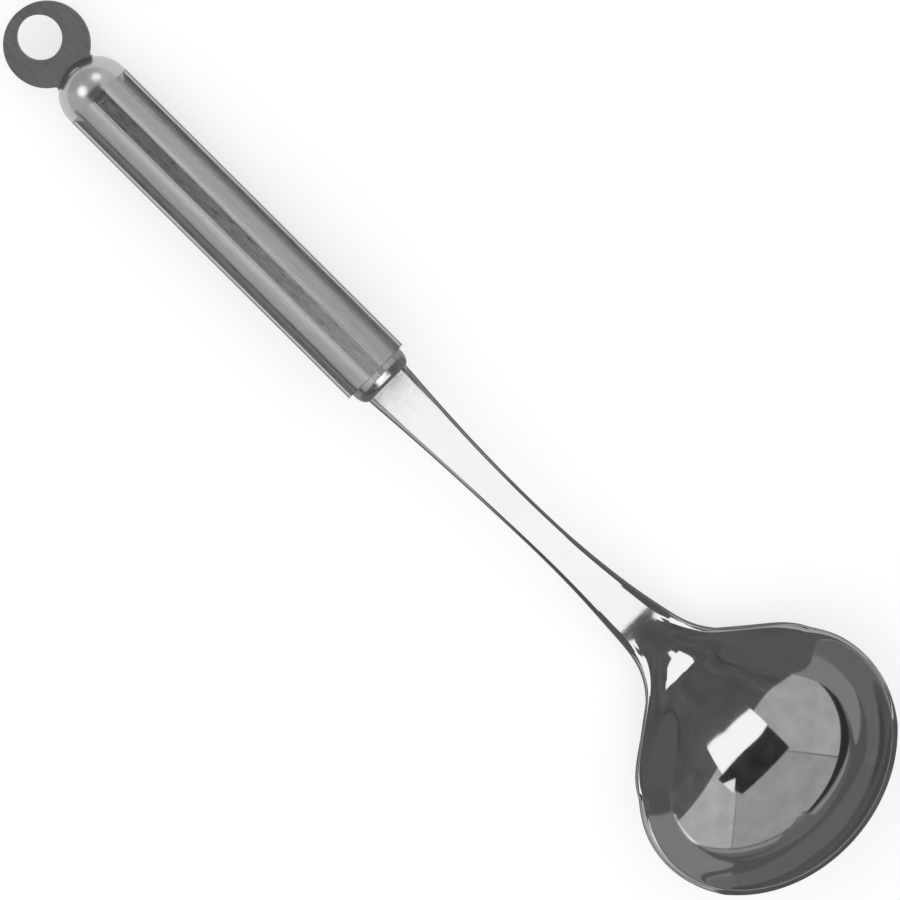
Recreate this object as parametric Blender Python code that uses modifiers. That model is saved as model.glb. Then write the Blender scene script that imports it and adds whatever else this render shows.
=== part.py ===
"""Sauce ladle: pressed bowl and stem, fluted hollow handle, ferrule, domed cap and hanging ring.

Metres, +Z up. The ladle is modelled along +X with the handle's axis on the X axis and the
bowl opening upwards, and is then laid down on the plane z = 0 as a table would hold it.
"""
import math

import bmesh
import bpy
from mathutils import Matrix, Vector

# Fits
CLEARANCE = 0.0003          # gap between pieces that touch
WELD = 0.000001             # points closer than this are one

# Hanging ring: a flat plate with an off-centre hole and a thinner tail held by the cap
RING_RADIUS = 0.0109
RING_HOLE_RADIUS = 0.0058
RING_HOLE_OFFSET = 0.0025   # the hole sits this far towards the ring's free end
RING_THICKNESS = 0.003
RING_TAIL_WIDTH = 0.0104
RING_TAIL_THICKNESS = 0.0022
RING_TAIL_SEAT = 0.005      # how far the tail reaches into the cap from its tip
RING_TIP_OVERLAP = 0.0029   # how far the round of the ring reaches past the cap's tip
RING_EDGE = 0.0004

# Handle tube: a drawn tube with flat-bottomed flutes
TUBE_RADIUS = 0.0095
TUBE_LENGTH = 0.098
TUBE_WALL = 0.001
FLUTE_COUNT = 6
FLUTE_WIDTH = 0.0036
FLUTE_DEPTH = 0.0011
FLUTE_CORNER = 0.0004
FLUTE_TURN = math.radians(8.5)   # the flutes sit turned this far from the bowl's plane

# End cap
CAP_SKIRT = 0.0005
CAP_SPIGOT = 0.008
CAP_BORE_RADIUS = 0.0052
CAP_BORE_FLOOR = 0.001      # the bore stops this far inside the dome's equator

# Ferrule
COLLAR_RADIUS = 0.0082
COLLAR_LENGTH = 0.0042
COLLAR_ROUND = 0.002
FERRULE_SPIGOT = 0.012
ROOT_SEAT = 0.0012          # depth of the pocket that takes the stem's root

# Stem
STEM_THICKNESS = 0.003
STEM_LENGTH = 0.104         # ferrule face to the fold where the bowl starts
STEM_ROOT_HALF = 0.00675
STEM_WAIST_HALF = 0.0045
STEM_WAIST_AT = 0.0523      # from the ferrule face
NECK_LENGTH = 0.0142        # the last stretch before the fold, where the stem splays
STEM_FLARE_AT = STEM_LENGTH - NECK_LENGTH
STEM_FLARE_HALF = 0.00735
TANG_WIDTH = 0.0104
TANG_LENGTH = 0.022

# Side line of the stem: slopes, and the stretches before the fold over which they build up
STEM_SLOPE = math.radians(13.5)
STEM_STRAIGHT = 0.008       # straight stretch at the ferrule
NECK_BEFORE = 0.034         # the stem's bend ends this far before the fold
NECK_SLOPE = math.radians(24)
NECK_BEND_START = 0.028
NECK_BEND_LENGTH = 0.010
LIP_SLOPE = math.radians(4)
LIP_LENGTH = 0.010
NECK_SPREAD = 1.75          # power that holds the neck's widening back towards the bowl

# Bowl
BOWL_WIDTH = 0.0730
BOWL_LENGTH = 0.0643        # from the fold to the tip
BOWL_DEPTH = 0.0170         # below the line from the fold to the tip
BOWL_ROUNDNESS = 0.042      # semi-axis of the ellipsoid the bowl is pressed to
BOWL_THICKNESS = 0.0015
RIM_TILT = math.radians(24.5)
RIM_INSET = 0.0007          # from the rim's outer edge to the inner face
RIM_CROWN = 0.0046          # rise of the rim's sides over the line from fold to tip
CROWN_LEAN = 0.0038         # how much of that rise moves from the far side to the shoulders
FOLD_FLAT = 0.0075          # half length of the straight fold across the neck
FOLD_ROUND = 0.003
FOLD_FADE = 3               # how fast the splay of the fold fades out in the bowl
FOLD_THINNING = 0.4         # share of the thinning from stem to bowl reached at the fold
CORNER_SHARE = 0.72         # where the shoulders meet the oval

# Cage of the pressed sheet: rows from the tang to the far rim, columns from edge to edge
COLUMNS = 6                 # from the middle line to each edge
STEM_ROWS = 12
NECK_ROWS = (0.2, 0.4, 0.58, 0.74, 0.88, 0.97)
BOWL_ROWS = (-1, -0.94, -0.82, -0.66, -0.48, -0.3, -0.1, 0.1, 0.3, 0.48, 0.66, 0.82, 0.93,
             0.975, 1)
BOWL_NEAR = 0.5             # the stretch of those rows in which the sheet thins out
STEM_EDGE_SHARE = 0.3       # share of the half width taken by the rounded edge
FOLD_EDGE_SHARE = 0.095
RIM_EDGE_SHARE = 0.035
CORNER_HOLD = 0.001         # distance of the row that keeps an end's corner tight
ROOT_STEP_START = 0.0002    # the root's shoulder, from its seat in the ferrule
ROOT_STEP_END = 0.0006

ROUND_STEPS = 48
DOME_STEPS = 14
ROUNDING_STEPS = 6
ACROSS = Matrix(((0, 0, 1, 0), (1, 0, 0, 0), (0, 1, 0, 0), (0, 0, 0, 1)))   # plate square to X


def smooth(t):
    t = min(max(t, 0.0), 1.0)
    return t * t * (3 - 2 * t)


def ramp(x, start, end):
    """Rise of a line whose slope grows smoothly from 0 at start to 1 at end."""
    t = (x - start) / (end - start)
    if t <= 0:
        return 0.0
    if t >= 1:
        return (end - start) / 2 + x - end
    return (end - start) * (t ** 3 - t ** 4 / 2)


class Stations:
    """Places along the handle's axis, from the ring's centre."""
    cap_equator = RING_RADIUS - RING_TIP_OVERLAP + TUBE_RADIUS
    cap_tip = cap_equator - TUBE_RADIUS
    tube_start = cap_equator + CAP_SKIRT
    tube_end = tube_start + TUBE_LENGTH
    collar_end = tube_end + COLLAR_LENGTH
    fold = collar_end + STEM_LENGTH
    tang_end = collar_end - TANG_LENGTH


BORE_RADIUS = TUBE_RADIUS - FLUTE_DEPTH - TUBE_WALL
SPIGOT_RADIUS = BORE_RADIUS - CLEARANCE


def collection(name):
    made = bpy.data.collections.new(name)
    bpy.context.scene.collection.children.link(made)
    return made


def steel(name, colour, roughness):
    material = bpy.data.materials.new(name)
    material.use_nodes = True
    shader = material.node_tree.nodes["Principled BSDF"]
    shader.inputs["Base Color"].default_value = (*colour, 1)
    shader.inputs["Metallic"].default_value = 1.0
    shader.inputs["Roughness"].default_value = roughness
    return material


def add_mesh(name, bm, home, material):
    """Make an object from a bmesh, shaded smooth across its gentle edges."""
    mesh = bpy.data.meshes.new(name)
    bm.to_mesh(mesh)
    bm.free()
    mesh.shade_smooth()
    mesh.set_sharp_from_angle(angle=math.radians(35))
    item = bpy.data.objects.new(name, mesh)
    home.objects.link(item)
    item.data.materials.append(material)
    return item


def turned(name, profile, home, material):
    """Turn a closed profile of (x, radius) points round the X axis."""
    bm = bmesh.new()
    points = [bm.verts.new((x, 0, radius)) for x, radius in profile]
    for first, second in zip(points, points[1:]):
        bm.edges.new((first, second))
    item = add_mesh(name, bm, home, material)
    screw = item.modifiers.new("turn", "SCREW")
    screw.axis = "X"
    screw.steps = screw.render_steps = ROUND_STEPS
    screw.use_merge_vertices = True
    screw.merge_threshold = WELD
    screw.use_smooth_shade = True
    screw.use_normal_calculate = True
    return item


def plate(name, outlines, thickness, home, material):
    """A flat piece in the XY plane from closed outlines, the later ones cut out as holes."""
    curve = bpy.data.curves.new(name, "CURVE")
    curve.dimensions = "2D"
    curve.fill_mode = "BOTH"
    curve.extrude = thickness / 2
    for outline in outlines:
        spline = curve.splines.new("POLY")
        spline.points.add(len(outline) - 1)
        for point, (x, y) in zip(spline.points, outline):
            point.co = (x, y, 0, 1)
        spline.use_cyclic_u = True
    guide = bpy.data.objects.new(name + "_outline", curve)
    bpy.context.scene.collection.objects.link(guide)
    graph = bpy.context.evaluated_depsgraph_get()
    mesh = bpy.data.meshes.new_from_object(guide.evaluated_get(graph))
    bpy.data.objects.remove(guide)
    bm = bmesh.new()
    bm.from_mesh(mesh)
    bpy.data.meshes.remove(mesh)
    bmesh.ops.remove_doubles(bm, verts=bm.verts, dist=WELD)
    bmesh.ops.recalc_face_normals(bm, faces=bm.faces)
    return add_mesh(name, bm, home, material)


def cut(item, cutter):
    step = item.modifiers.new("cut", "BOOLEAN")
    step.operation = "DIFFERENCE"
    step.object = cutter


def arc(centre_x, centre_y, radius, start, end, steps):
    """Points on an arc between two angles in degrees, both ends included."""
    for step in range(steps + 1):
        angle = math.radians(start + (end - start) * step / steps)
        yield centre_x + radius * math.cos(angle), centre_y + radius * math.sin(angle)


def side_line(x):
    """Height of the stem's upper face on the middle line, x from the ferrule face."""
    slope = math.tan(STEM_SLOPE)
    neck = math.tan(NECK_SLOPE)
    lip = math.tan(LIP_SLOPE)
    bend = STEM_LENGTH - NECK_BEND_START
    fall = slope * ramp(x, STEM_STRAIGHT, STEM_LENGTH - NECK_BEFORE)
    fall += (neck - slope) * ramp(x, bend, bend + NECK_BEND_LENGTH)
    fall -= (neck - lip) * ramp(x, STEM_LENGTH - LIP_LENGTH, STEM_LENGTH)
    return STEM_THICKNESS / 2 - fall


def stem_half(x):
    """Half width of the stem, x from the ferrule face."""
    if x < STEM_WAIST_AT:
        share = (STEM_WAIST_AT - x) / STEM_WAIST_AT
        return STEM_WAIST_HALF + (STEM_ROOT_HALF - STEM_WAIST_HALF) * share ** 2
    share = (x - STEM_WAIST_AT) / (STEM_FLARE_AT - STEM_WAIST_AT)
    return STEM_WAIST_HALF + (STEM_FLARE_HALF - STEM_WAIST_HALF) * share ** 2


BOWL_HALF_WIDTH = BOWL_WIDTH / 2 - RIM_INSET
BOWL_HALF_LENGTH = BOWL_LENGTH / 2 - RIM_INSET
BOWL_CENTRE = BOWL_LENGTH / 2
CORNER_Y = BOWL_HALF_WIDTH * math.sqrt(CORNER_SHARE)
CORNER_X = BOWL_CENTRE - BOWL_HALF_LENGTH * math.sqrt(1 - CORNER_SHARE)


def soft_positive(value):
    return (value + math.sqrt(value * value + FOLD_ROUND ** 2)) / 2


def crown(across, along):
    """Rise over the line from fold to tip, at a place in the unit disc."""
    return (RIM_CROWN - CROWN_LEAN * along) * across ** 2 * math.hypot(across, along)


def fold_point(q):
    """The fold between neck and bowl: straight in the middle, then splayed and rising."""
    y = CORNER_Y * q
    splay = CORNER_X / (soft_positive(CORNER_Y - FOLD_FLAT) - soft_positive(-FOLD_FLAT))
    x = splay * (soft_positive(abs(y) - FOLD_FLAT) - soft_positive(-FOLD_FLAT))
    rise = crown(q * math.sqrt(CORNER_SHARE), -math.sqrt(1 - CORNER_SHARE * q * q))
    return x, y, rise


def rim_to_ladle(x, y, z):
    """From the frame of the line fold to tip, whose origin is the fold, to the ladle's frame."""
    cosine, sine = math.cos(RIM_TILT), math.sin(RIM_TILT)
    return Vector((Stations.fold + x * cosine - z * sine, y,
                   side_line(STEM_LENGTH) + x * sine + z * cosine))


def bowl_point(p, q):
    """Inner face of the bowl: p runs from the fold (-1) to the far rim (1), q from side to side."""
    across = q * math.sqrt(1 - (1 - CORNER_SHARE) * p * p)
    along = p * math.sqrt(1 - CORNER_SHARE * q * q)
    reach = across ** 2 + along ** 2
    centre_height = BOWL_ROUNDNESS - BOWL_DEPTH
    full = 1 / (1 - (centre_height / BOWL_ROUNDNESS) ** 2)
    depth = BOWL_ROUNDNESS * math.sqrt(1 - reach / full) - centre_height
    fold_x = fold_point(q)[0]
    oval_x = BOWL_CENTRE - BOWL_HALF_LENGTH * math.sqrt(1 - CORNER_SHARE * q * q)
    pull = ((1 - p) / 2) ** FOLD_FADE
    x = BOWL_CENTRE + BOWL_HALF_LENGTH * along + (fold_x - oval_x) * pull
    rise = Vector((0, 0, crown(across, along)))
    return rim_to_ladle(x, BOWL_HALF_WIDTH * across, -depth) + rise


def neck_point(t, q):
    """Upper face of the neck: t runs from the straight stem (0) to the fold (1)."""
    fold_x, fold_y, lift = fold_point(q)
    fold = rim_to_ladle(fold_x, fold_y, 0) + Vector((0, 0, lift))
    start = Stations.collar_end + STEM_FLARE_AT
    x = start + (fold.x - start) * t
    spread = smooth(t) ** NECK_SPREAD
    side = fold_y - q * stem_half(fold.x - Stations.collar_end)
    y = q * stem_half(x - Stations.collar_end) + side * spread
    middle = STEM_FLARE_AT + (STEM_LENGTH - STEM_FLARE_AT) * t
    rise = fold.z - side_line(STEM_LENGTH)
    return Vector((x, y, side_line(middle) + rise * spread))


def column_shares(edge_share):
    """Cage columns from one edge to the other, with the outermost strip edge_share wide."""
    half = [(1 - edge_share) * step / (COLUMNS - 1) for step in range(COLUMNS)] + [1.0]
    return [-share for share in reversed(half[1:])] + half


def thinned(share):
    """Sheet thickness, from the stem's (0) to the bowl's (1)."""
    return STEM_THICKNESS + (BOWL_THICKNESS - STEM_THICKNESS) * share


def sheet_rows():
    """Rows of (point, thickness) on the sheet's upper face, from the tang's end to the far rim."""
    rows = []
    flat = STEM_THICKNESS / 2
    shares = column_shares(STEM_EDGE_SHARE)
    seat = Stations.collar_end - ROOT_SEAT + CLEARANCE
    for x in (Stations.tang_end, Stations.tang_end + CORNER_HOLD, seat - CORNER_HOLD,
              seat + ROOT_STEP_START):
        rows.append([(Vector((x, q * TANG_WIDTH / 2, flat)), STEM_THICKNESS) for q in shares])
    for x in (seat + ROOT_STEP_END, Stations.collar_end):
        rows.append([(Vector((x, q * STEM_ROOT_HALF, flat)), STEM_THICKNESS) for q in shares])
    for step in range(1, STEM_ROWS + 1):
        along = STEM_FLARE_AT * step / STEM_ROWS
        x = Stations.collar_end + along
        rows.append([(Vector((x, q * stem_half(along), side_line(along))), STEM_THICKNESS)
                     for q in shares])
    rest = 1 - FOLD_THINNING
    for t in NECK_ROWS:
        edge = STEM_EDGE_SHARE + (FOLD_EDGE_SHARE - STEM_EDGE_SHARE) * t
        rows.append([(neck_point(t, q), thinned(t * (FOLD_THINNING + rest * q * q)))
                     for q in column_shares(edge)])
    for p in BOWL_ROWS:
        near = smooth((p + 1) / BOWL_NEAR)
        edge = FOLD_EDGE_SHARE + (RIM_EDGE_SHARE - FOLD_EDGE_SHARE) * near
        rows.append([(bowl_point(p, q), thinned(FOLD_THINNING + rest * max(near, q * q)))
                     for q in column_shares(edge)])
    return rows


def make_bowl_and_stem(home, material):
    bm = bmesh.new()
    weight = bm.verts.layers.deform.new()
    grid = []
    for row in sheet_rows():
        line = []
        for point, thickness in row:
            vert = bm.verts.new(point)
            vert[weight][0] = thickness / STEM_THICKNESS
            line.append(vert)
        grid.append(line)
    for near, far in zip(grid, grid[1:]):
        for column in range(len(near) - 1):
            bm.faces.new((near[column], far[column], far[column + 1], near[column + 1]))
    item = add_mesh("bowl_and_stem", bm, home, material)
    item.vertex_groups.new(name="thickness")
    shell = item.modifiers.new("sheet", "SOLIDIFY")
    shell.thickness = STEM_THICKNESS
    shell.offset = -1
    shell.vertex_group = "thickness"
    shell.use_even_offset = True
    shell.use_quality_normals = True
    rounding = item.modifiers.new("rounding", "SUBSURF")
    rounding.levels = rounding.render_levels = 1
    return item


def make_ferrule(home, cutters, material):
    """Collar in front of the tube, with a spigot inside it and a slot for the tang."""
    front = Stations.collar_end
    back = Stations.tube_end + CLEARANCE
    profile = [(back - FERRULE_SPIGOT, 0), (back - FERRULE_SPIGOT, SPIGOT_RADIUS),
               (back, SPIGOT_RADIUS), (back, COLLAR_RADIUS)]
    centre_r = COLLAR_RADIUS - COLLAR_ROUND
    profile += [(x, r) for x, r in arc(front - COLLAR_ROUND, centre_r, COLLAR_ROUND, 90, 0,
                                    ROUNDING_STEPS)]
    profile += [(front, 0)]
    item = turned("front_ferrule", list(reversed(profile)), home, material)
    for name, half_width, depth in (("tang_slot", TANG_WIDTH / 2, 2 * FERRULE_SPIGOT),
                                    ("root_pocket", STEM_ROOT_HALF, ROOT_SEAT)):
        outline = slot_outline(half_width + CLEARANCE, STEM_THICKNESS / 2 + CLEARANCE)
        slot = plate(name, [outline], 2 * depth, cutters, material)
        slot.matrix_world = Matrix.Translation((front, 0, 0)) @ ACROSS
        cut(item, slot)
    return item


def slot_outline(half_width, half_height):
    """Rounded slot: straight along x, with half-round ends."""
    centre = half_width - half_height
    points = list(arc(centre, 0, half_height, -90, 90, ROUNDING_STEPS))
    points += list(arc(-centre, 0, half_height, 90, 270, ROUNDING_STEPS))
    return points


def flute_profile(radius, floor, half_width, corner):
    """Closed outline of a round bar or bore with flat-floored flutes, the first one at +Y."""
    points = []
    for flute in range(FLUTE_COUNT):
        turn = math.radians(90 + 360 * flute / FLUTE_COUNT)
        local = [(floor, -half_width), (floor, half_width)]
        rim = math.sqrt(radius ** 2 - (half_width + corner) ** 2)
        inner = math.sqrt(radius ** 2 - half_width ** 2) - corner
        local.append((inner, half_width))
        start = math.degrees(math.atan2(half_width + corner, rim))
        local += list(arc(0, 0, radius, start, 360 / FLUTE_COUNT - start,
                          ROUND_STEPS // FLUTE_COUNT))
        nearer = [(inner, -half_width)]
        for x, y in nearer + local:
            points.append((x * math.cos(turn) - y * math.sin(turn),
                           x * math.sin(turn) + y * math.cos(turn)))
    return points


def make_tube(home, material):
    outer = flute_profile(TUBE_RADIUS, TUBE_RADIUS - FLUTE_DEPTH, FLUTE_WIDTH / 2, FLUTE_CORNER)
    inner = flute_profile(TUBE_RADIUS - TUBE_WALL, BORE_RADIUS,
                          FLUTE_WIDTH / 2 + TUBE_WALL, FLUTE_CORNER)
    item = plate("handle_tube", [outer, inner], TUBE_LENGTH, home, material)
    middle = (Stations.tube_start + Stations.tube_end) / 2
    turn = Matrix.Rotation(-FLUTE_TURN, 4, "X")
    item.matrix_world = Matrix.Translation((middle, 0, 0)) @ turn @ ACROSS
    return item


def ring_outline():
    """The ring's round, hollowed where it meets the dome of the cap."""
    hollow = TUBE_RADIUS + CLEARANCE
    centre = Stations.cap_equator
    meet_x = (RING_RADIUS ** 2 - hollow ** 2 + centre ** 2) / (2 * centre)
    start = math.degrees(math.acos(meet_x / RING_RADIUS))
    side = math.degrees(math.asin(math.sqrt(RING_RADIUS ** 2 - meet_x ** 2) / hollow))
    outline = list(arc(0, 0, RING_RADIUS, start, 360 - start, ROUND_STEPS))
    outline += list(arc(centre, 0, hollow, 180 + side, 180 - side, ROUNDING_STEPS))[1:-1]
    return outline


def tail_outline(grow):
    """The tail, from its seat in the cap to between the cap and the ring's hole."""
    half = RING_TAIL_WIDTH / 2 + grow
    end = Stations.cap_tip + RING_TAIL_SEAT + grow
    start = (Stations.cap_tip + RING_HOLE_RADIUS - RING_HOLE_OFFSET) / 2
    return [(end, -half), (end, half), (start, half), (start, -half)]


def make_cap(home, cutters, material):
    """Dome with a spigot inside the tube, bored from behind and slotted for the ring."""
    centre = Stations.cap_equator
    end = Stations.tube_start - CLEARANCE
    profile = [(x, r) for x, r in arc(centre, 0, TUBE_RADIUS, 180, 90, DOME_STEPS)]
    profile[0] = (Stations.cap_tip, 0)
    profile += [(end, TUBE_RADIUS), (end, SPIGOT_RADIUS), (end + CAP_SPIGOT, SPIGOT_RADIUS),
                (end + CAP_SPIGOT, CAP_BORE_RADIUS), (centre - CAP_BORE_FLOOR, CAP_BORE_RADIUS),
                (centre - CAP_BORE_FLOOR, 0)]
    item = turned("end_cap", list(reversed(profile)), home, material)
    slot = plate("ring_slot", [tail_outline(CLEARANCE)], RING_TAIL_THICKNESS + 2 * CLEARANCE,
                 cutters, material)
    cut(item, slot)
    return item


def make_ring(home, cutters, material):
    hole = list(arc(-RING_HOLE_OFFSET, 0, RING_HOLE_RADIUS, 0, 360, ROUND_STEPS))[:-1]
    item = plate("hanging_ring", [ring_outline(), hole], RING_THICKNESS, home, material)
    edge = item.modifiers.new("edge", "BEVEL")
    edge.width = RING_EDGE
    edge.segments = 2
    edge.limit_method = "ANGLE"
    edge.angle_limit = math.radians(60)
    join = item.modifiers.new("tail", "BOOLEAN")
    join.operation = "UNION"
    join.object = plate("ring_tail", [tail_outline(0)], RING_TAIL_THICKNESS, cutters, material)
    return item


def lower_outline(points):
    """Lower side of the convex outline of (x, z) points, from left to right."""
    hull = []
    for x, z in sorted(points):
        while len(hull) > 1:
            (ax, az), (bx, bz) = hull[-2:]
            if (bx - ax) * (z - az) - (bz - az) * (x - ax) > 0:
                break
            hull.pop()
        hull.append((x, z))
    return hull


def lay_down(pieces, stand):
    """Turn and lift the stand so that the ladle lies on z = 0, its box centred on the origin."""
    graph = bpy.context.evaluated_depsgraph_get()
    points = []
    for piece in pieces:
        shape = piece.evaluated_get(graph)
        points += [shape.matrix_world @ vert.co for vert in shape.to_mesh().vertices]
        shape.to_mesh_clear()
    hull = lower_outline([(point.x, point.z) for point in points])
    near, far = max(zip(hull, hull[1:]), key=lambda edge: edge[1][0] - edge[0][0])
    angle = math.atan2(far[1] - near[1], far[0] - near[0])
    turn = Matrix.Rotation(angle, 4, "Y")
    laid = [turn @ point for point in points]
    middle_x = (min(p.x for p in laid) + max(p.x for p in laid)) / 2
    shift = Vector((-middle_x, 0, -min(p.z for p in laid)))
    stand.matrix_world = Matrix.Translation(shift) @ turn


def main():
    for item in list(bpy.data.objects):
        bpy.data.objects.remove(item)
    home = collection("sauce_ladle")
    cutters = collection("cutters")
    polished = steel("polished_steel", (0.62, 0.62, 0.63), 0.08)
    satin = steel("satin_steel", (0.55, 0.55, 0.56), 0.3)
    matt = steel("matt_steel", (0.42, 0.42, 0.43), 0.38)
    pieces = [make_bowl_and_stem(home, polished), make_ferrule(home, cutters, satin),
              make_tube(home, satin), make_cap(home, cutters, polished), make_ring(home, cutters, matt)]
    for cutter in cutters.objects:
        cutter.hide_render = True
        cutter.display_type = "WIRE"
    stand = bpy.data.objects.new("ladle", None)
    home.objects.link(stand)
    for item in pieces + list(cutters.objects):
        item.parent = stand
    bpy.context.view_layer.update()
    lay_down(pieces, stand)
    bpy.context.view_layer.update()


main()
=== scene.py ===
"""Sauce ladle: fine shapes, steel materials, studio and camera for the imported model."""
import math

import bmesh
import bpy
from mathutils import Matrix, Vector


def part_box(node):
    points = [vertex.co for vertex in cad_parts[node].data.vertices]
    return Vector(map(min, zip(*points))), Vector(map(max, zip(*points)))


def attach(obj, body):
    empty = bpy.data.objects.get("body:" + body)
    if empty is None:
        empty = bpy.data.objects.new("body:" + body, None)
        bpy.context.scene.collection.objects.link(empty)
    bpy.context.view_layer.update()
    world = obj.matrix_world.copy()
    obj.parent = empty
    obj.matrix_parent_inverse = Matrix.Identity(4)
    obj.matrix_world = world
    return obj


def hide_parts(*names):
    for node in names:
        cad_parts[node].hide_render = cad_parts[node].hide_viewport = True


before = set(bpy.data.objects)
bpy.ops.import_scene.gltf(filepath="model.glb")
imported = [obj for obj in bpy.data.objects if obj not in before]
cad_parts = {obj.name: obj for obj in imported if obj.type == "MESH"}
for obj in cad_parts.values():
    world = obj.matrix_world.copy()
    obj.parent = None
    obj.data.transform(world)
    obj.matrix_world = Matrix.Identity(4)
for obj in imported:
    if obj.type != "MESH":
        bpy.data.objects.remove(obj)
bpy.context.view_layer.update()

# Where the ladle lies: its own frame has the handle's axis on X and the ring's centre at 0
TILT = math.asin(0.062923796)
STAND = Matrix.Translation((-0.135590702, 0, 0.008387322)) @ Matrix.Rotation(-TILT, 4, "Y")

# Sizes repeated from the model's source, in metres
RING_RADIUS = 0.0109
RING_HOLE_RADIUS = 0.0058
RING_HOLE_OFFSET = 0.0025
RING_THICKNESS = 0.003
WELD_FILLET = 0.0007
RING_EDGE = 0.0004
TUBE_RADIUS = 0.0095
TUBE_WALL = 0.001
FLUTE_COUNT = 6
FLUTE_WIDTH = 0.0036
FLUTE_DEPTH = 0.0011
FLUTE_CORNER = 0.0004
FLUTE_TURN = math.radians(8.5)
COLLAR_RADIUS = 0.0082
CAP_TIP = 0.008
CAP_EQUATOR = 0.0175
TUBE_START = 0.018
TUBE_END = 0.116
COLLAR_END = 0.1202
FOLD = 0.2242
STEM_THICKNESS = 0.003
STEM_LENGTH = 0.104
STEM_ROOT_HALF = 0.00675
STEM_WAIST_HALF = 0.0045
STEM_WAIST_AT = 0.0523
STEM_FLARE_AT = 0.0898
STEM_FLARE_HALF = 0.00735
STEM_SLOPE = math.radians(13.5)
STEM_STRAIGHT = 0.008
NECK_BEFORE = 0.034
NECK_SLOPE = math.radians(24)
NECK_BEND_START = 0.028
NECK_BEND_LENGTH = 0.010
LIP_SLOPE = math.radians(4)
LIP_LENGTH = 0.010
NECK_SPREAD = 1.75
BOWL_WIDTH = 0.0730
BOWL_LENGTH = 0.0643
BOWL_DEPTH = 0.0170
BOWL_ROUNDNESS = 0.042
BOWL_THICKNESS = 0.0015
RIM_TILT = math.radians(24.5)
RIM_INSET = 0.0007
RIM_CROWN = 0.0046
CROWN_LEAN = 0.0038
FOLD_FLAT = 0.0075
FOLD_ROUND = 0.003
FOLD_FADE = 3
FOLD_THINNING = 0.4
CORNER_SHARE = 0.72
COLUMNS = 11
STEM_ROWS = 24
NECK_ROWS = (0.1, 0.2, 0.3, 0.4, 0.49, 0.58, 0.66, 0.74, 0.81, 0.88, 0.97)
BOWL_ROWS = (-1, -0.94, -0.88, -0.82, -0.74, -0.66, -0.57, -0.48, -0.39, -0.3, -0.2, -0.1, 0,
             0.1, 0.2, 0.3, 0.39, 0.48, 0.57, 0.66, 0.74, 0.82, 0.875, 0.93, 0.975, 1)
BOWL_NEAR = 0.5
STEM_EDGE_SHARE = 0.3
FOLD_EDGE_SHARE = 0.095
RIM_EDGE_SHARE = 0.035

# Camera: the view is rolled to the ladle's +Y side
VIEW_ROLL = math.radians(8.5)
VIEW_RIGHT = (0.70886, 0.70535)     # shares of along and across in the picture's right
VIEW_TARGET = (0.14296, -0.00082)   # along and across from the ring's centre
VIEW_WIDTH = 0.225
VIEW_DISTANCE = 6.0

# Finer forms that only the scene has
HAIR = 0.000005             # the bowl's mesh stays this far inside its solid's box
EVENED_FROM = 0.088         # where the neck's smoothing starts, from the collar
EVENED_PAST_FOLD = 0.012
EVENED_RISE = 0.012
EVENED_FALL = 0.010
EVENED_EDGE_COLUMNS = 3     # columns at each edge of the sheet that aren't smoothed
GROOVE_DEPTH = 0.00012
SLOPE_BEFORE_END = 0.0025   # the collar's slope starts this far before its front
SLOPE_LENGTH = 0.00155
SLOPE_STEPS = 24
FRONT_STEPS = 16
SPIGOT_RADIUS = TUBE_RADIUS - 0.0026
REACH_GUARD = 0.0001        # how near a corner has to be to count as on the floor or the rim

# Studio
DEEP_LEVEL = 0.26           # the level that deep reflections are drawn to
DEEP_SHARE = 0.8
RIG_X = 0.2485              # the middle of the tent along the ladle
HIGH = 0.65
LOW = 0.027
TENT_RADIUS = 2.2
TENT_RISES = 24
CARD_ABOVE_FLOOR = 0.0006
FLOOR_HALF = 4
FLOOR_LEVEL = 0.6
ALONG = Vector((1, 0, 0))
ACROSS = Vector((0, math.cos(VIEW_ROLL), -math.sin(VIEW_ROLL)))
TOWARDS = Vector((0, math.sin(VIEW_ROLL), math.cos(VIEW_ROLL)))


def smooth(t):
    t = min(max(t, 0.0), 1.0)
    return t * t * (3 - 2 * t)


def ramp(x, start, end):
    t = (x - start) / (end - start)
    if t <= 0:
        return 0.0
    if t >= 1:
        return (end - start) / 2 + x - end
    return (end - start) * (t ** 3 - t ** 4 / 2)


def arc(centre_x, centre_y, radius, start, end, steps):
    for step in range(steps + 1):
        angle = math.radians(start + (end - start) * step / steps)
        yield centre_x + radius * math.cos(angle), centre_y + radius * math.sin(angle)


# Materials

def nodes_of(name):
    material = bpy.data.materials.new(name)
    material.use_nodes = True
    tree = material.node_tree
    shader = tree.nodes["Principled BSDF"]
    return material, tree, shader


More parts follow.
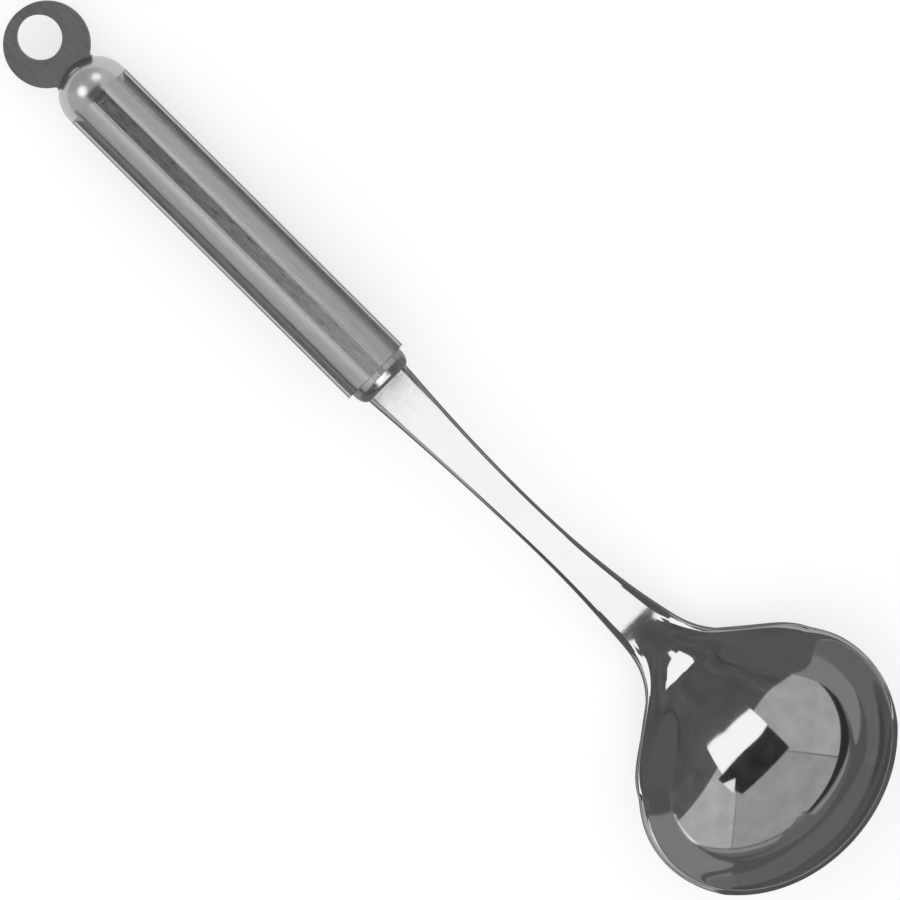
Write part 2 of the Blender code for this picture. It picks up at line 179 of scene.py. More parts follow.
def steel(name, colour, roughness, spread, stretch, scale, bump, wave=0.0, wave_scale=120,
          grain=0.0):
    """Steel whose gloss and surface vary along fine stretched lines, with an optional soft wave."""
    material, tree, shader = nodes_of(name)
    link = tree.links.new
    place = tree.nodes.new("ShaderNodeTexCoord")
    mapping = tree.nodes.new("ShaderNodeMapping")
    mapping.inputs["Scale"].default_value = stretch
    link(place.outputs["Object"], mapping.inputs["Vector"])
    lines = tree.nodes.new("ShaderNodeTexNoise")
    lines.inputs["Scale"].default_value = scale
    lines.inputs["Detail"].default_value = 4
    lines.inputs["Roughness"].default_value = 0.6
    link(mapping.outputs["Vector"], lines.inputs["Vector"])
    cloud = tree.nodes.new("ShaderNodeTexNoise")
    cloud.inputs["Scale"].default_value = 90
    cloud.inputs["Detail"].default_value = 3
    link(place.outputs["Object"], cloud.inputs["Vector"])
    gloss = tree.nodes.new("ShaderNodeMapRange")
    gloss.inputs["From Min"].default_value = 0.3
    gloss.inputs["From Max"].default_value = 0.7
    gloss.inputs["To Min"].default_value = roughness - spread
    gloss.inputs["To Max"].default_value = roughness + spread
    link(lines.outputs["Fac"], gloss.inputs["Value"])
    link(gloss.outputs["Result"], shader.inputs["Roughness"])
    tint = tree.nodes.new("ShaderNodeMixRGB")
    tint.inputs["Color1"].default_value = (*[part * 0.96 for part in colour], 1)
    tint.inputs["Color2"].default_value = (*[min(1, part * 1.04) for part in colour], 1)
    link(cloud.outputs["Fac"], tint.inputs["Fac"])
    brushed = tree.nodes.new("ShaderNodeMapRange")
    brushed.inputs["From Min"].default_value = 0.3
    brushed.inputs["From Max"].default_value = 0.7
    brushed.inputs["To Min"].default_value = 1 - grain
    brushed.inputs["To Max"].default_value = 1 + grain
    link(lines.outputs["Fac"], brushed.inputs["Value"])
    shade = tree.nodes.new("ShaderNodeVectorMath")
    shade.operation = "MULTIPLY"
    link(tint.outputs["Color"], shade.inputs[0])
    link(brushed.outputs["Result"], shade.inputs[1])
    link(shade.outputs[0], shader.inputs["Base Color"])
    shader.inputs["Metallic"].default_value = 1.0
    fine = tree.nodes.new("ShaderNodeBump")
    fine.inputs["Strength"].default_value = bump
    fine.inputs["Distance"].default_value = 0.00005
    link(lines.outputs["Fac"], fine.inputs["Height"])
    if wave:
        soft = tree.nodes.new("ShaderNodeTexNoise")
        soft.inputs["Scale"].default_value = wave_scale
        soft.inputs["Detail"].default_value = 1
        link(place.outputs["Object"], soft.inputs["Vector"])
        low = tree.nodes.new("ShaderNodeBump")
        low.inputs["Strength"].default_value = wave
        low.inputs["Distance"].default_value = 0.0001
        link(soft.outputs["Fac"], low.inputs["Height"])
        link(low.outputs["Normal"], fine.inputs["Normal"])
    link(fine.outputs["Normal"], shader.inputs["Normal"])
    return material


def glow(name, strength, spread=0.0, scale=2.0, reach=None):
    """A card that gives off light, a little uneven where spread is set.

    Light that has met the steel twice or more is drawn close to one level, painted light and shade
    in the steel's deeper reflections.
    A card with a reach shows only in steel whose distance from it is between the two lengths.
    """
    material = bpy.data.materials.new(name)
    material.use_nodes = True
    tree = material.node_tree
    link = tree.links.new
    tree.nodes.clear()
    out = tree.nodes.new("ShaderNodeOutputMaterial")
    lamp = tree.nodes.new("ShaderNodeEmission")
    lamp.inputs["Color"].default_value = (1, 1, 1, 1)
    rays = tree.nodes.new("ShaderNodeLightPath")
    deep = tree.nodes.new("ShaderNodeMath")
    deep.operation = "GREATER_THAN"
    deep.inputs[1].default_value = 1.5
    link(rays.outputs["Ray Depth"], deep.inputs[0])
    share = tree.nodes.new("ShaderNodeMath")
    share.operation = "MULTIPLY"
    share.inputs[1].default_value = DEEP_SHARE
    link(deep.outputs[0], share.inputs[0])
    level = tree.nodes.new("ShaderNodeMix")
    level.inputs["A"].default_value = strength
    level.inputs["B"].default_value = DEEP_LEVEL
    link(share.outputs[0], level.inputs["Factor"])
    if spread:
        place = tree.nodes.new("ShaderNodeTexCoord")
        cloud = tree.nodes.new("ShaderNodeTexNoise")
        cloud.inputs["Scale"].default_value = scale
        link(place.outputs["Object"], cloud.inputs["Vector"])
        uneven = tree.nodes.new("ShaderNodeMapRange")
        uneven.inputs["From Min"].default_value = 0.3
        uneven.inputs["From Max"].default_value = 0.7
        uneven.inputs["To Min"].default_value = strength * (1 - spread)
        uneven.inputs["To Max"].default_value = strength * (1 + spread)
        link(cloud.outputs["Fac"], uneven.inputs["Value"])
        link(uneven.outputs["Result"], level.inputs["A"])
    link(level.outputs["Result"], lamp.inputs["Strength"])
    link(lamp.outputs["Emission"], out.inputs["Surface"])
    if reach:
        hidden = deep
        for limit, test in zip(reach, ("LESS_THAN", "GREATER_THAN")):
            beyond = tree.nodes.new("ShaderNodeMath")
            beyond.operation = test
            beyond.inputs[1].default_value = limit
            link(rays.outputs["Ray Length"], beyond.inputs[0])
            either = tree.nodes.new("ShaderNodeMath")
            either.operation = "MAXIMUM"
            link(hidden.outputs[0], either.inputs[0])
            link(beyond.outputs[0], either.inputs[1])
            hidden = either
        clear = tree.nodes.new("ShaderNodeBsdfTransparent")
        choice = tree.nodes.new("ShaderNodeMixShader")
        link(hidden.outputs[0], choice.inputs[0])
        link(lamp.outputs["Emission"], choice.inputs[1])
        link(clear.outputs[0], choice.inputs[2])
        link(choice.outputs[0], out.inputs["Surface"])
    return material


polished = steel("polished_steel", (0.60, 0.60, 0.605), 0.06, 0.02, (40, 8, 8), 60, 0.02, 0.06)
satin = steel("satin_steel", (0.58, 0.58, 0.585), 0.22, 0.04, (4, 60, 60), 30, 0.4, grain=0.10)
# darker steel on the flute floors and the cap's run-out: painted shade in the recesses
flute = steel("flute_painted_shade_steel", (0.42, 0.42, 0.425), 0.30, 0.04, (8, 60, 60), 30, 0.4, grain=0.2)
# much lighter steel on the flute walls and corners: painted light
side = steel("flute_wall_painted_light_steel", (0.80, 0.80, 0.805), 0.30, 0.04, (4, 60, 60), 30, 0.4, grain=0.16)
dome = steel("dome_steel", (0.62, 0.62, 0.625), 0.24, 0.03, (30, 30, 30), 40, 0.03, 0.06, 300)
# rough steel for the ring, its base colour darkened well below the other steels as painted shade
matt_painted_shade = steel("matt_steel", (0.31, 0.31, 0.315), 0.42, 0.04, (6, 60, 30), 30, 0.4, grain=0.12)


# Pieces

def piece(name, bm, material, node, sharp=35):
    """Link a mesh made in the ladle's frame, laid down as the model is, in place of a CAD node."""
    mesh = bpy.data.meshes.new(name)
    bm.to_mesh(mesh)
    bm.free()
    mesh.transform(STAND)
    mesh.shade_smooth()
    mesh.set_sharp_from_angle(angle=math.radians(sharp))
    item = bpy.data.objects.new(name, mesh)
    bpy.context.scene.collection.objects.link(item)
    item.data.materials.append(material)
    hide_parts(node)
    return item


def turned(profile, steps):
    """Turn an open profile of (x, radius) points round the X axis."""
    bm = bmesh.new()
    loops = []
    for x, radius in profile:
        if radius < 1e-7:
            loops.append([bm.verts.new((x, 0, 0))])
            continue
        loops.append([bm.verts.new((x, radius * math.cos(2 * math.pi * k / steps),
                                    radius * math.sin(2 * math.pi * k / steps)))
                      for k in range(steps)])
    for near, far in zip(loops, loops[1:]):
        for k in range(steps):
            n = (k + 1) % steps
            if len(near) == 1:
                bm.faces.new((near[0], far[k], far[n]))
            elif len(far) == 1:
                bm.faces.new((near[k], far[0], near[n]))
            else:
                bm.faces.new((near[k], far[k], far[n], near[n]))
    bmesh.ops.recalc_face_normals(bm, faces=bm.faces)
    return bm


def plate(outlines, thickness):
    """A flat piece in the XY plane from closed outlines, the later ones cut out as holes."""
    curve = bpy.data.curves.new("outline", "CURVE")
    curve.dimensions = "2D"
    curve.fill_mode = "BOTH"
    curve.extrude = thickness / 2
    for outline in outlines:
        spline = curve.splines.new("POLY")
        spline.points.add(len(outline) - 1)
        for point, (x, y) in zip(spline.points, outline):
            point.co = (x, y, 0, 1)
        spline.use_cyclic_u = True
    guide = bpy.data.objects.new("outline", curve)
    bpy.context.scene.collection.objects.link(guide)
    graph = bpy.context.evaluated_depsgraph_get()
    mesh = bpy.data.meshes.new_from_object(guide.evaluated_get(graph))
    bpy.data.objects.remove(guide)
    bpy.data.curves.remove(curve)
    bm = bmesh.new()
    bm.from_mesh(mesh)
    bpy.data.meshes.remove(mesh)
    bmesh.ops.remove_doubles(bm, verts=bm.verts, dist=1e-6)
    bmesh.ops.dissolve_limit(bm, angle_limit=0.001, verts=bm.verts, edges=bm.edges)
    bmesh.ops.recalc_face_normals(bm, faces=bm.faces)
    return bm


def settle(item, node):
    """Keep the shape that the modifiers give, as a plain mesh a hair inside the CAD node."""
    graph = bpy.context.evaluated_depsgraph_get()
    mesh = bpy.data.meshes.new_from_object(item.evaluated_get(graph))
    item.modifiers.clear()
    item.data = mesh
    low, high = bounds_of(mesh)
    box_low, box_high = map(Vector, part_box(node))
    box_low.x = low.x - HAIR
    fitted = Matrix.Identity(4)
    for axis in range(3):
        ratio = (box_high[axis] - box_low[axis] - 2 * HAIR) / (high[axis] - low[axis])
        fitted[axis][axis] = ratio
        fitted[axis][3] = box_low[axis] + HAIR - low[axis] * ratio
    mesh.transform(fitted)


def bounds_of(mesh):
    corners = [[vert.co[axis] for vert in mesh.vertices] for axis in range(3)]
    return Vector(map(min, corners)), Vector(map(max, corners))


def bevel(item, width, segments, angle):
    edge = item.modifiers.new("edge", "BEVEL")
    edge.width = width
    edge.segments = segments
    edge.limit_method = "ANGLE"
    edge.angle_limit = math.radians(angle)
    edge.use_clamp_overlap = True
    edge.harden_normals = True
    return item


# Bowl and stem

def side_line(x):
    slope = math.tan(STEM_SLOPE)
    neck = math.tan(NECK_SLOPE)
    lip = math.tan(LIP_SLOPE)
    bend = STEM_LENGTH - NECK_BEND_START
    fall = slope * ramp(x, STEM_STRAIGHT, STEM_LENGTH - NECK_BEFORE)
    fall += (neck - slope) * ramp(x, bend, bend + NECK_BEND_LENGTH)
    fall -= (neck - lip) * ramp(x, STEM_LENGTH - LIP_LENGTH, STEM_LENGTH)
    return STEM_THICKNESS / 2 - fall


def stem_half(x):
    if x < STEM_WAIST_AT:
        share = (STEM_WAIST_AT - x) / STEM_WAIST_AT
        return STEM_WAIST_HALF + (STEM_ROOT_HALF - STEM_WAIST_HALF) * share ** 2
    share = (x - STEM_WAIST_AT) / (STEM_FLARE_AT - STEM_WAIST_AT)
    return STEM_WAIST_HALF + (STEM_FLARE_HALF - STEM_WAIST_HALF) * share ** 2


BOWL_HALF_WIDTH = BOWL_WIDTH / 2 - RIM_INSET
BOWL_HALF_LENGTH = BOWL_LENGTH / 2 - RIM_INSET
BOWL_CENTRE = BOWL_LENGTH / 2
CORNER_Y = BOWL_HALF_WIDTH * math.sqrt(CORNER_SHARE)
CORNER_X = BOWL_CENTRE - BOWL_HALF_LENGTH * math.sqrt(1 - CORNER_SHARE)


def soft_positive(value):
    return (value + math.sqrt(value * value + FOLD_ROUND ** 2)) / 2


def crown(across, along):
    return (RIM_CROWN - CROWN_LEAN * along) * across ** 2 * math.hypot(across, along)


def fold_point(q):
    y = CORNER_Y * q
    splay = CORNER_X / (soft_positive(CORNER_Y - FOLD_FLAT) - soft_positive(-FOLD_FLAT))
    x = splay * (soft_positive(abs(y) - FOLD_FLAT) - soft_positive(-FOLD_FLAT))
    rise = crown(q * math.sqrt(CORNER_SHARE), -math.sqrt(1 - CORNER_SHARE * q * q))
    return x, y, rise


def rim_to_ladle(x, y, z):
    cosine, sine = math.cos(RIM_TILT), math.sin(RIM_TILT)
    return Vector((FOLD + x * cosine - z * sine, y,
                   side_line(STEM_LENGTH) + x * sine + z * cosine))


def bowl_point(p, q):
    across = q * math.sqrt(1 - (1 - CORNER_SHARE) * p * p)
    along = p * math.sqrt(1 - CORNER_SHARE * q * q)
    reach = across ** 2 + along ** 2
    centre_height = BOWL_ROUNDNESS - BOWL_DEPTH
    full = 1 / (1 - (centre_height / BOWL_ROUNDNESS) ** 2)
    depth = BOWL_ROUNDNESS * math.sqrt(1 - reach / full) - centre_height
    fold_x = fold_point(q)[0]
    oval_x = BOWL_CENTRE - BOWL_HALF_LENGTH * math.sqrt(1 - CORNER_SHARE * q * q)
    pull = ((1 - p) / 2) ** FOLD_FADE
    x = BOWL_CENTRE + BOWL_HALF_LENGTH * along + (fold_x - oval_x) * pull
    return rim_to_ladle(x, BOWL_HALF_WIDTH * across, -depth) + Vector((0, 0, crown(across, along)))


def neck_point(t, q):
    fold_x, fold_y, lift = fold_point(q)
    fold = rim_to_ladle(fold_x, fold_y, 0) + Vector((0, 0, lift))
    start = COLLAR_END + STEM_FLARE_AT
    x = start + (fold.x - start) * t
    spread = smooth(t) ** NECK_SPREAD
    side = fold_y - q * stem_half(fold.x - COLLAR_END)
    y = q * stem_half(x - COLLAR_END) + side * spread
    middle = STEM_FLARE_AT + (STEM_LENGTH - STEM_FLARE_AT) * t
    rise = fold.z - side_line(STEM_LENGTH)
    return Vector((x, y, side_line(middle) + rise * spread))


def column_shares(edge_share):
    half = [(1 - edge_share) * step / (COLUMNS - 1) for step in range(COLUMNS)] + [1.0]
    return [-share for share in reversed(half[1:])] + half


def thinned(share):
    return STEM_THICKNESS + (BOWL_THICKNESS - STEM_THICKNESS) * share


def sheet_rows():
    rows = []
    shares = column_shares(STEM_EDGE_SHARE)
    for x in (COLLAR_END - 0.0008, COLLAR_END - 0.0004, COLLAR_END):
        rows.append([(Vector((x, q * STEM_ROOT_HALF, STEM_THICKNESS / 2)), STEM_THICKNESS)
                     for q in shares])
    for step in range(1, STEM_ROWS + 1):
        along = STEM_FLARE_AT * step / STEM_ROWS
        rows.append([(Vector((COLLAR_END + along, q * stem_half(along), side_line(along))),
                      STEM_THICKNESS) for q in shares])
    rest = 1 - FOLD_THINNING
    for t in NECK_ROWS:
        edge = STEM_EDGE_SHARE + (FOLD_EDGE_SHARE - STEM_EDGE_SHARE) * t
        rows.append([(neck_point(t, q), thinned(t * (FOLD_THINNING + rest * q * q)))
                     for q in column_shares(edge)])
    for p in BOWL_ROWS:
        near = smooth((p + 1) / BOWL_NEAR)
        edge = FOLD_EDGE_SHARE + (RIM_EDGE_SHARE - FOLD_EDGE_SHARE) * near
        rows.append([(bowl_point(p, q), thinned(FOLD_THINNING + rest * max(near, q * q)))
                     for q in column_shares(edge)])
    return rows


def evened(x):
    """How far the neck's surface is smoothed after subdivision, by its place along the ladle."""
    start = COLLAR_END + EVENED_FROM
    end = FOLD + EVENED_PAST_FOLD
    return smooth((x - start) / EVENED_RISE) * smooth((end - x) / EVENED_FALL)


def make_bowl_and_stem():
    bm = bmesh.new()
    weight = bm.verts.layers.deform.new()
    grid = []
    for row in sheet_rows():
        line = []
        for point, thickness in row:
            vert = bm.verts.new(point)
            vert[weight][0] = thickness / STEM_THICKNESS
            inner = EVENED_EDGE_COLUMNS <= len(line) <= 2 * COLUMNS - EVENED_EDGE_COLUMNS
            vert[weight][1] = evened(point.x) if inner else 0
            line.append(vert)
        grid.append(line)
    for near, far in zip(grid, grid[1:]):
        for column in range(len(near) - 1):
            bm.faces.new((near[column], far[column], far[column + 1], near[column + 1]))
    item = piece("pressed_bowl_and_stem", bm, polished, "bowl_and_stem", 180)
    item.vertex_groups.new(name="thickness")
    item.vertex_groups.new(name="evened")
    shell = item.modifiers.new("sheet", "SOLIDIFY")
    shell.thickness = STEM_THICKNESS
    shell.offset = -1
    shell.vertex_group = "thickness"
    shell.use_even_offset = True
    shell.use_quality_normals = True
    rounding = item.modifiers.new("rounding", "SUBSURF")
    rounding.levels = rounding.render_levels = 1
    even = item.modifiers.new("even", "SMOOTH")
    even.factor = 0.5
    even.iterations = 25
    even.vertex_group = "evened"
    finer = item.modifiers.new("finer", "SUBSURF")
    finer.levels = finer.render_levels = 2
    settle(item, "bowl_and_stem")
    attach(item, "root")
    return item


# Handle

def flute_profile(radius, floor, half_width, corner, steps):
    points = []
    for flute in range(FLUTE_COUNT):
        turn = math.radians(90 + 360 * flute / FLUTE_COUNT)
        inner = math.sqrt(radius ** 2 - half_width ** 2) - corner
        rim = math.sqrt(radius ** 2 - (half_width + corner) ** 2)
        start = math.degrees(math.atan2(half_width + corner, rim))
        local = [(inner, -half_width), (floor, -half_width), (floor, half_width),
                 (inner, half_width)]
        local += list(arc(0, 0, radius, start, 360 / FLUTE_COUNT - start, steps))
        for x, y in local:
            points.append((x * math.cos(turn) - y * math.sin(turn),
                           x * math.sin(turn) + y * math.cos(turn)))
    return points


def make_tube():
    """Fluted tube: the flutes' floors take a darker steel as painted shade, their walls a lighter
    steel as painted light.
    """
    floor_radius = TUBE_RADIUS - FLUTE_DEPTH
    outer = flute_profile(TUBE_RADIUS, floor_radius, FLUTE_WIDTH / 2, FLUTE_CORNER, 40)
    bore = list(arc(0, 0, floor_radius - TUBE_WALL, 0, 360, 96))[:-1]
    bm = plate([outer, bore], TUBE_END - TUBE_START)
    stand_up = Matrix(((0, 0, 1, 0), (1, 0, 0, 0), (0, 1, 0, 0), (0, 0, 0, 1)))
    bm.transform(Matrix.Translation(((TUBE_START + TUBE_END) / 2, 0, 0))
                 @ Matrix.Rotation(-FLUTE_TURN, 4, "X") @ stand_up)
    bm.normal_update()
    chosen = bm.edges.layers.float.new("bevel_weight_edge")
    for edge in bm.edges:
        rear = all(vert.co.x < TUBE_START + REACH_GUARD for vert in edge.verts)
        if edge.calc_face_angle(0) > math.radians(24) and not rear:
            edge[chosen] = 1
    floor_reach = math.hypot(floor_radius, FLUTE_WIDTH / 2)
    # the flute floors get the darker steel as painted shade, their walls and corners the lighter
    # steel as painted light
    for face in bm.faces:
        if abs(face.normal.x) > 0.5:
            continue
        reaches = sorted(math.hypot(vert.co.y, vert.co.z) for vert in face.verts)
        if floor_radius - REACH_GUARD < reaches[0] and reaches[-1] < floor_reach + REACH_GUARD:
            face.material_index = 1
        elif floor_reach - REACH_GUARD < reaches[0] < TUBE_RADIUS - REACH_GUARD:
            face.material_index = 2
    item = piece("fluted_tube", bm, satin, "handle_tube", 20)
    item.data.materials.append(flute)
    item.data.materials.append(side)
    bevel(item, 0.0002, 3, 24).modifiers["edge"].limit_method = "WEIGHT"
    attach(item, "root")
    return item


def make_cap():
    """Dome with a run-out into the tube's flutes."""
    profile = [(x, r) for x, r in arc(CAP_EQUATOR, 0, TUBE_RADIUS, 180, 90, 48)]
    profile[0] = (CAP_TIP, 0)
    low = TUBE_RADIUS - FLUTE_DEPTH
    profile += [(TUBE_START + 0.0003, TUBE_RADIUS + 0.000004),
                (TUBE_START + 0.0004, TUBE_RADIUS - 0.0001),
                (TUBE_START + 0.0018, low + 0.00015), (TUBE_START + 0.0024, low - 0.0001),
                (TUBE_START + 0.008, SPIGOT_RADIUS)]
    bm = turned(profile, 128)
    # the run-out faces take the flute floors' darker steel: painted shade where the dome runs into
    # the flutes
    for face in bm.faces:
        face.material_index = int(face.calc_center_median().x > TUBE_START + 0.0003)
    item = piece("domed_cap", bm, dome, "end_cap", 30)
    item.data.materials.append(flute)
    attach(item, "root")
    return item


def make_ferrule():
    """Collar with a fine groove, a slightly crowned slope and a rounded front."""
    low = COLLAR_RADIUS - GROOVE_DEPTH
    slope_start = COLLAR_END - SLOPE_BEFORE_END
    profile = [(TUBE_END - 0.008, SPIGOT_RADIUS), (TUBE_END - 0.0002, SPIGOT_RADIUS),
               (TUBE_END - 0.0001, COLLAR_RADIUS - 0.0002), (TUBE_END + 0.0001, COLLAR_RADIUS),
               (slope_start - 0.0002, COLLAR_RADIUS), (slope_start - 0.0001, low),
               (slope_start + 0.0001, low)]
    x, radius, turn = slope_start + 0.0001, low, math.radians(10)
    for step in range(SLOPE_STEPS):
        x += SLOPE_LENGTH / SLOPE_STEPS * math.cos(turn)
        radius -= SLOPE_LENGTH / SLOPE_STEPS * math.sin(turn)
        profile.append((x, radius))
        turn += math.radians(22) / SLOPE_STEPS
    left = COLLAR_END - x
    bend = left / (1 - math.sin(turn))
    for step in range(1, FRONT_STEPS + 1):
        angle = turn + (math.pi / 2 - turn) * step / FRONT_STEPS
        profile.append((x + bend * (math.sin(angle) - math.sin(turn)),
                        radius - bend * (math.cos(turn) - math.cos(angle))))
    profile += [(COLLAR_END, 0)]
    item = piece("stepped_collar", turned(profile, 128), satin, "front_ferrule", 30)
    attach(item, "root")
    return item


def make_ring():
    """Flat ring with its hole, its tail hidden in the cap and a weld fillet at each side."""
    reach = RING_RADIUS + WELD_FILLET
    across = TUBE_RADIUS + WELD_FILLET
    x = (reach ** 2 - across ** 2 + CAP_EQUATOR ** 2) / (2 * CAP_EQUATOR)
    y = math.sqrt(reach ** 2 - x ** 2)
    to_ring = math.degrees(math.atan2(-y, -x))
    to_dome = math.degrees(math.atan2(-y, CAP_EQUATOR - x))
    fillet = list(arc(x, y, WELD_FILLET, to_dome, to_ring, 12))
    start = math.degrees(math.atan2(y, x))
    inner = (CAP_TIP + 0.004, y - WELD_FILLET)
    outline = [inner] + fillet + list(arc(0, 0, RING_RADIUS, start, 360 - start, 160))[1:-1]
    outline += [(px, -py) for px, py in reversed(fillet)] + [(inner[0], -inner[1])]
    hole = list(arc(-RING_HOLE_OFFSET, 0, RING_HOLE_RADIUS, 0, 360, 120))[:-1]
    item = piece("round_hanging_ring", plate([outline, hole], RING_THICKNESS), matt_painted_shade,
                 "hanging_ring", 30)
    bevel(item, RING_EDGE, 4, 50)
    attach(item, "root")
    return item


bowl = make_bowl_and_stem()
tube = make_tube()
cap = make_cap()
collar = make_ferrule()
make_ring()


# Studio

def rig(x, y, h):
    """A place in the studio: x along the ladle from the ring, y across and h towards the camera."""
    return STAND @ (ALONG * x + ACROSS * y + TOWARDS * h)


def hide_from_all_but_gloss(item):
    item.visible_camera = False
    item.visible_diffuse = False
    item.visible_transmission = False
    item.visible_volume_scatter = False
    item.visible_shadow = False


def stage_item(name, verts, faces, material):
    """A card or wall of the studio, which only reflections show."""
    mesh = bpy.data.meshes.new(name)
    mesh.from_pydata(verts, [], faces)
    item = bpy.data.objects.new(name, mesh)
    bpy.context.scene.collection.objects.link(item)
    item.data.materials.append(material)
    hide_from_all_but_gloss(item)
    return item


def card(name, corners, material):
    verts = [rig(*corner) for corner in corners]
    return stage_item(name, verts, [tuple(range(len(corners)))], material)


def see_through(name, strength):
    """Light that is added to what lies behind its card."""
    material = bpy.data.materials.new(name)
    material.use_nodes = True
    tree = material.node_tree
    tree.nodes.clear()
    out = tree.nodes.new("ShaderNodeOutputMaterial")
    lamp = tree.nodes.new("ShaderNodeEmission")
    lamp.inputs["Color"].default_value = (1, 1, 1, 1)
    lamp.inputs["Strength"].default_value = strength
    clear = tree.nodes.new("ShaderNodeBsdfTransparent")
    both = tree.nodes.new("ShaderNodeAddShader")
    tree.links.new(lamp.outputs[0], both.inputs[0])
    tree.links.new(clear.outputs[0], both.inputs[1])
    tree.links.new(both.outputs[0], out.inputs["Surface"])
    return material


def light_only(item, pieces):
    """Let the item's light reach the given pieces alone."""
    receivers = bpy.data.collections.new(item.name + "_for")
    for part in pieces:
        receivers.objects.link(part)
    item.light_linking.receiver_collection = receivers
    return item


def added_light(name, corners, strength, pieces):
    """A see-through card whose light reaches the given pieces alone."""
    return light_only(card(name, corners, see_through(name, strength)), pieces)


def tent_wall(name, start, end, material, radius=TENT_RADIUS, low=-20, high=90, high_end=None):
    """Part of a dome round the bowl between two turns, in degrees from along towards across."""
    verts, faces = [], []
    turns = max(2, int((end - start) / 5))
    for i in range(turns + 1):
        turn = math.radians(start + (end - start) * i / turns)
        top = high if high_end is None else high + (high_end - high) * i / turns
        for j in range(TENT_RISES + 1):
            rise = math.radians(low + (top - low) * j / TENT_RISES)
            verts.append(rig(RIG_X + radius * math.cos(rise) * math.cos(turn),
                             radius * math.cos(rise) * math.sin(turn), radius * math.sin(rise)))
    for i in range(turns):
        for j in range(TENT_RISES):
            a = i * (TENT_RISES + 1) + j
            faces.append((a, a + TENT_RISES + 1, a + TENT_RISES + 2, a + 1))
    return stage_item(name, verts, faces, material)


def flat_card(name, height, strength, outline, spread=0.0, scale=2.0):
    return card(name, [(x, y, height) for x, y in outline], glow(name, strength, spread, scale))


def spot(name, x, y, h, radius, strength, pieces):
    """A round light that faces the ladle's rear end."""
    middle = Vector((x, y, h))
    aim = (middle - Vector((0.0145, 0, 0.0086))).normalized()
    side = aim.cross(Vector((0, 0, 1))).normalized()
    rise = aim.cross(side)
    corners = [middle + (side * math.cos(turn) + rise * math.sin(turn)) * radius
               for turn in (2 * math.pi * k / 24 for k in range(24))]
    return added_light(name, corners, strength, pieces)


def on_floor(x0, x1, y0, y1, height):
    """Corners just above the floor, from the model's own frame to the studio's."""
    back = STAND.inverted()
    corners = []
    for x, y in ((x0, y0), (x1, y0), (x1, y1), (x0, y1)):
        place = back @ Vector((x, y, height))
        corners.append((place.dot(ALONG), place.dot(ACROSS), place.dot(TOWARDS)))
    return corners


def floor_card(name, strength, x0, x1, y0, y1):
    return card(name, on_floor(x0, x1, y0, y1, CARD_ABOVE_FLOOR), glow(name, strength))


tent_wall("tent_rear", 135, 214, glow("tent_rear", 0.46, 0.1))
tent_wall("tent_right", 214, 282, glow("tent_right", 0.54, 0.1))
tent_wall("tent_left", 90, 135, glow("tent_left", 0.62, 0.1))
tent_wall("tent_gap", 70, 90, glow("tent_gap", 0.15, 0.2))
tent_wall("tent_front", -78, 70, glow("tent_front", 0.13, 0.2))
tent_wall("seam_right", 213.4, 214.4, glow("seam_right", 0.22), radius=2.18, high=62)
tent_wall("seam_left", 134.4, 135.4, glow("seam_left", 0.3), radius=2.18, high=62)
tent_wall("skirt", 146, 283, glow("skirt", 0.04, 0.2, 2, (2.13, 3)), radius=2.17, low=-12, high=5)
light_only(tent_wall("horizon", 84, 140, see_through("horizon", 0.75), radius=2.16, low=-12,
                     high=18.5, high_end=0), [bowl])
flat_card("soft_box", HIGH, 1.5, [(0.140, -0.33), (0.62, -0.33), (0.55, 0.0), (0.47, 0.10),
                                  (0.47, 0.33), (0.166, 0.324), (0.136, 0.0), (0.118, -0.165),
                                  (0.118, -0.225)])
flat_card("stem_light", HIGH + 0.001, 1.5, [(0.55, -0.15), (0.70, -0.17), (0.83, -0.20),
                                            (0.935, -0.225), (0.935, -0.275), (0.83, -0.275),
                                            (0.70, -0.26), (0.55, -0.26)])
flat_card("dark_slot", HIGH + 0.003, 0.045, [(0.148, -0.322), (0.174, 0.408), (-0.168, 0.302),
                                             (-0.222, -0.36)], 0.3, 8)
flat_card("small_light", HIGH - 0.001, 1.2, [(0.100, 0.385), (-0.075, 0.360), (0.030, 0.235)])
flat_card("near_flag", LOW, 0.12, [(0.400, 0.300), (0.345, 0.300), (0.292, 0.056),
                                   (0.284, 0.0485), (0.279, 0.043), (0.270, 0.038),
                                   (0.259, 0.0305), (0.2555, 0.024), (0.2555, 0.016),
                                   (0.2505, -0.0014), (0.2500, -0.016), (0.2515, -0.030),
                                   (0.254, -0.042), (0.264, -0.075), (0.275, -0.100),
                                   (0.295, -0.160), (0.400, -0.160)], 0.35, 30)
floor_card("floor_near_handle", 0.38, -0.25, -0.012, -0.10, 0.10)
floor_card("floor_left", 0.38, -0.25, -0.012, 0.10, 1.8)
floor_card("floor_right", 0.38, -0.25, -0.012, -1.8, -0.10)
floor_card("floor_rear", 0.2, -2.5, -0.25, -1.8, 1.8)
floor_card("floor_bowl", 0.2, -0.012, 2.5, -1.8, 1.8)
for far, strength in ((0.43, 0.35), (0.58, 0.22), (0.85, 0.2)):
    added_light("handle_right_%d" % (far * 100), [(-0.05, -0.35, HIGH), (0.13, -0.35, HIGH),
                                                  (0.13, -far, HIGH), (-0.05, -far, HIGH)],
                strength, [tube, collar])
added_light("handle_left", [(-0.05, 0.35, HIGH), (0.13, 0.35, HIGH), (0.13, 0.42, HIGH),
                            (-0.05, 0.42, HIGH)], 0.6, [tube, collar])
spot("dome_light_left", -0.154, -0.125, 0.2245, 0.078, 1.3, [cap])
spot("dome_light_right", -0.156, 0.165, 0.1946, 0.066, 1.1, [cap])
added_light("dome_sides", on_floor(-0.4, -0.08, -0.4, 0.4, 0.0009), 0.4, [cap])
added_light("collar_light", [(0.2035, -0.088, 0.189), (0.2035, 0.076, 0.189),
                             (0.312, 0.076, 0.060), (0.312, -0.088, 0.060)], 1.3, [collar])


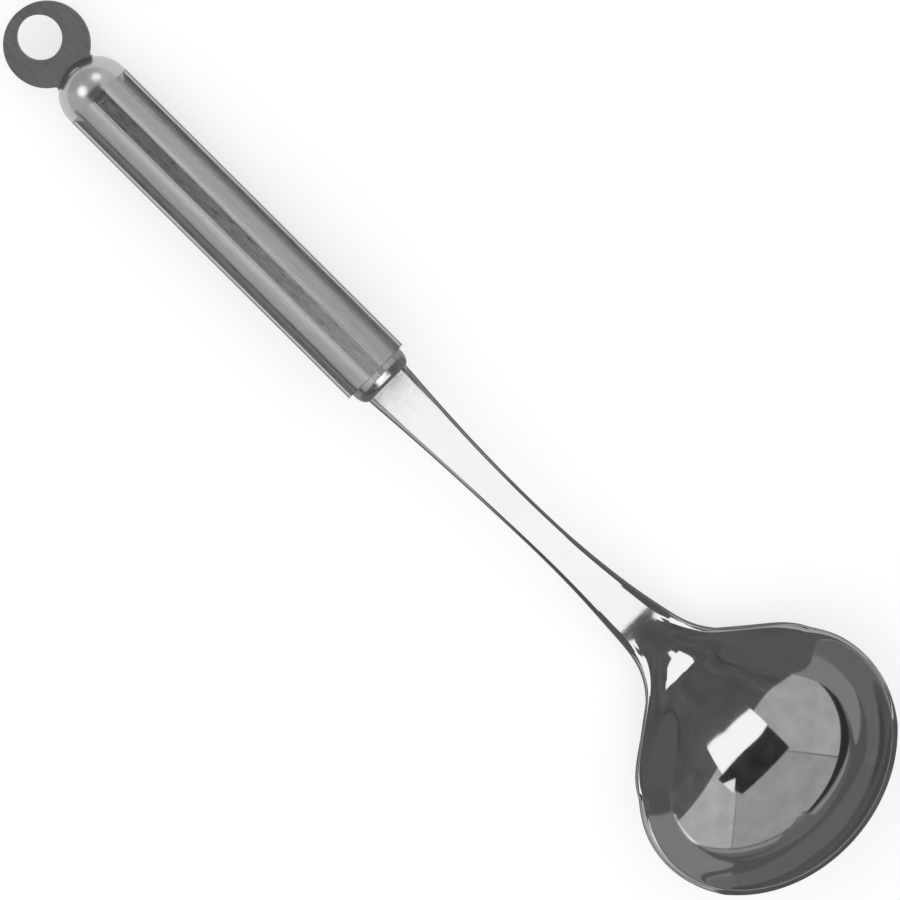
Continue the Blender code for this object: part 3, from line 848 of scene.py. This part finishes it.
def floor_material():
    """Matte and pale, and lit by itself where the camera or polished steel sees it."""
    material = bpy.data.materials.new("floor")
    material.use_nodes = True
    tree = material.node_tree
    link = tree.links.new
    tree.nodes.clear()
    out = tree.nodes.new("ShaderNodeOutputMaterial")
    matte = tree.nodes.new("ShaderNodeBsdfDiffuse")
    matte.inputs["Color"].default_value = (0.45, 0.45, 0.45, 1)
    light = tree.nodes.new("ShaderNodeEmission")
    light.inputs["Color"].default_value = (1, 1, 1, 1)
    rays = tree.nodes.new("ShaderNodeLightPath")
    seen = tree.nodes.new("ShaderNodeMath")
    seen.operation = "MAXIMUM"
    link(rays.outputs["Is Camera Ray"], seen.inputs[0])
    link(rays.outputs["Is Glossy Ray"], seen.inputs[1])
    lit = tree.nodes.new("ShaderNodeMath")
    lit.operation = "MULTIPLY"
    lit.inputs[1].default_value = FLOOR_LEVEL
    link(seen.outputs[0], lit.inputs[0])
    link(lit.outputs[0], light.inputs["Strength"])
    both = tree.nodes.new("ShaderNodeAddShader")
    link(matte.outputs[0], both.inputs[0])
    link(light.outputs[0], both.inputs[1])
    link(both.outputs[0], out.inputs["Surface"])
    return material


def make_floor():
    low, high = -FLOOR_HALF, FLOOR_HALF
    mesh = bpy.data.meshes.new("floor")
    mesh.from_pydata([(low, low, 0), (high, low, 0), (high, high, 0), (low, high, 0)], [],
                     [(0, 1, 2, 3)])
    floor = bpy.data.objects.new("floor", mesh)
    bpy.context.scene.collection.objects.link(floor)
    floor.data.materials.append(floor_material())


def make_world():
    world = bpy.data.worlds.new("studio")
    bpy.context.scene.world = world
    world.use_nodes = True
    background = world.node_tree.nodes["Background"]
    background.inputs["Color"].default_value = (1, 1, 1, 1)
    background.inputs["Strength"].default_value = 1.0


def make_camera():
    right = ALONG * VIEW_RIGHT[0] + ACROSS * VIEW_RIGHT[1]
    up = -ALONG * VIEW_RIGHT[1] + ACROSS * VIEW_RIGHT[0]
    target = ALONG * VIEW_TARGET[0] + ACROSS * VIEW_TARGET[1]
    place = Matrix.Translation(target + TOWARDS * VIEW_DISTANCE)
    turn = Matrix((right, up, TOWARDS)).transposed().to_4x4()
    data = bpy.data.cameras.new("camera")
    data.sensor_width = 36
    data.lens = data.sensor_width * VIEW_DISTANCE / VIEW_WIDTH
    data.clip_end = 50
    camera = bpy.data.objects.new("camera", data)
    bpy.context.scene.collection.objects.link(camera)
    camera.matrix_world = STAND @ place @ turn
    bpy.context.scene.camera = camera


make_floor()
make_world()
make_camera()
bpy.context.scene.view_settings.view_transform = "Standard"
bpy.context.view_layer.update()
